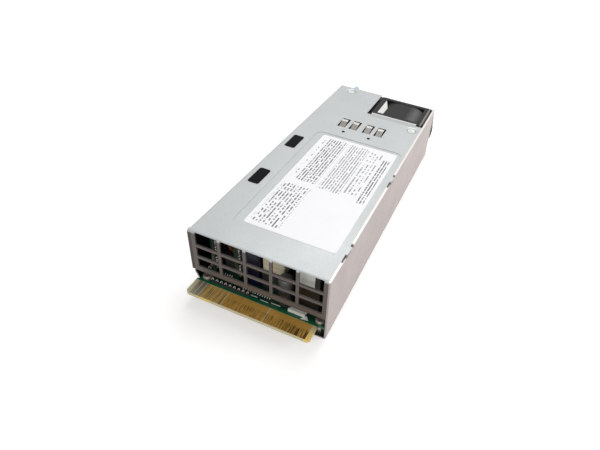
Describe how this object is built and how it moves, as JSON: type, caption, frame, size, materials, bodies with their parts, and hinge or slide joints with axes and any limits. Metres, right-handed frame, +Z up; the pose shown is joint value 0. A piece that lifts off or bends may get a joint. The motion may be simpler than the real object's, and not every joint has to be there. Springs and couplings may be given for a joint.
{
  "type": "hot swap server power supply",
  "caption": "Flat sheet-metal server power supply with a card edge, rear grille, flush fan, mains inlet, thumb latch and folding handle.",
  "frame": {"origin": "centre of the underside of the enclosure", "axes": "+Z up, +Y along the length towards the front panel with fan and inlet, -Y towards the card edge"},
  "size_m": [0.0758, 0.2074, 0.041],
  "materials": {
    "chassis_steel": "zinc-coated sheet, fine rolled grain",
    "cover_steel": "zinc-coated sheet, satin",
    "panel_steel": "zinc-coated sheet, satin",
    "spring_steel": "spring strip, light grain",
    "screw_steel": "zinc-plated",
    "bearing_steel": "ground and polished",
    "guard_steel": "satin black",
    "label_white": "coated label stock",
    "film_black": "matt film",
    "fan_black": "moulded, satin",
    "fan_blade_black": "moulded, satin",
    "copper_winding": "enamelled copper wire",
    "ferrite_grey": "sintered ferrite",
    "inlet_black": "moulded, fine texture",
    "plated_brass": "nickel-plated brass",
    "tab_blue": "moulded, satin",
    "handle_dark": "moulded, fine texture",
    "light_pipe": "clear tinted light pipe",
    "board_green": "solder mask over laminate",
    "contact_grey": "worn gold over nickel",
    "contact_gold": "gold plate",
    "chip_black": "moulded epoxy",
    "plug_white": "moulded nylon",
    "can_grey": "drawn can",
    "can_black": "shrink sleeve",
    "winding_brown": "enamelled copper wire",
    "capacitor_blue": "epoxy dip",
    "tape_cream": "polyester tape",
    "relay_cream": "moulded case",
    "sink_aluminium": "extruded",
    "capacitor_grey": "moulded box",
    "fuse_ceramic": "ceramic barrel with plated caps"
  },
  "bodies": {
    "enclosure": {"base_chassis": "chassis_steel", "top_cover": "cover_steel", "front_panel": "panel_steel", "cover_screws": "screw_steel", "panel_screws": "screw_steel", "rating_label": "label_white", "cover_pads": "film_black", "fan_frame": "fan_black", "fan_bearing": "bearing_steel", "fan_stator": "copper_winding", "fan_guard": "guard_steel", "fan_screws": "screw_steel", "inlet_housing": "inlet_black", "inlet_pins": "plated_brass", "latch_keeper": "spring_steel", "handle_pins": "screw_steel", "status_light": "light_pipe", "main_board": "board_green", "signal_pads": "contact_grey", "power_pads": "contact_gold", "board_screws": "screw_steel", "board_standoffs": "plated_brass", "insulating_film": "film_black", "daughter_board_left": "board_green", "daughter_board_right": "board_green", "daughter_chips": "chip_black", "rear_pin_header": "chip_black", "sense_plug": "plug_white", "small_can": "can_grey", "output_choke_base": "chip_black", "output_choke": "winding_brown", "film_capacitor": "capacitor_blue", "auxiliary_base": "chip_black", "auxiliary_winding": "tape_cream", "relay_body": "relay_cream", "relay_label": "label_white", "output_cans": "can_grey", "output_heat_sink": "sink_aluminium", "power_transistors": "chip_black", "transformer_core": "ferrite_grey", "transformer_winding": "tape_cream", "bulk_capacitor": "can_black", "choke_base": "chip_black", "power_choke": "winding_brown", "primary_heat_sink": "sink_aluminium", "line_choke_base": "chip_black", "line_choke": "copper_winding", "line_capacitor": "capacitor_grey", "line_fuse": "fuse_ceramic"},
    "rotor": {"fan_impeller": "fan_blade_black", "fan_shaft": "bearing_steel", "fan_magnet": "ferrite_grey"},
    "latch": {"latch_spring": "spring_steel", "latch_tab": "tab_blue"},
    "handle": {"handle_bail": "handle_dark"},
    "clip_left": {"ground_clip_left": "spring_steel"},
    "clip_right": {"ground_clip_right": "spring_steel"}
  },
  "joints": [
    {"name": "fan_spin", "type": "hinge", "parent": "enclosure", "child": "rotor", "pos_m": [0.016, 0.0815, 0.02], "axis": [0, 1, 0], "continuous": true},
    {"name": "latch_press", "type": "hinge", "parent": "enclosure", "child": "latch", "pos_m": [-0.0343, 0.05, 0.0322], "axis": [0, 0, -1], "range_deg": [0, 4.5], "stiffness_Nm_per_rad": 4},
    {"name": "handle_fold", "type": "hinge", "parent": "enclosure", "child": "handle", "pos_m": [0.01638, 0.0957, 0.03], "axis": [1, 0, 0], "range_deg": [0, 90]},
    {"name": "ground_clip_left_press", "type": "hinge", "parent": "enclosure", "child": "clip_left", "pos_m": [-0.00825, 0.0274, 0.0389], "axis": [-1, 0, 0], "range_deg": [0, 3.3], "stiffness_Nm_per_rad": 0.5},
    {"name": "ground_clip_right_press", "type": "hinge", "parent": "enclosure", "child": "clip_right", "pos_m": [0.00895, 0.0274, 0.0389], "axis": [-1, 0, 0], "range_deg": [0, 3.3], "stiffness_Nm_per_rad": 0.5}
  ]
}
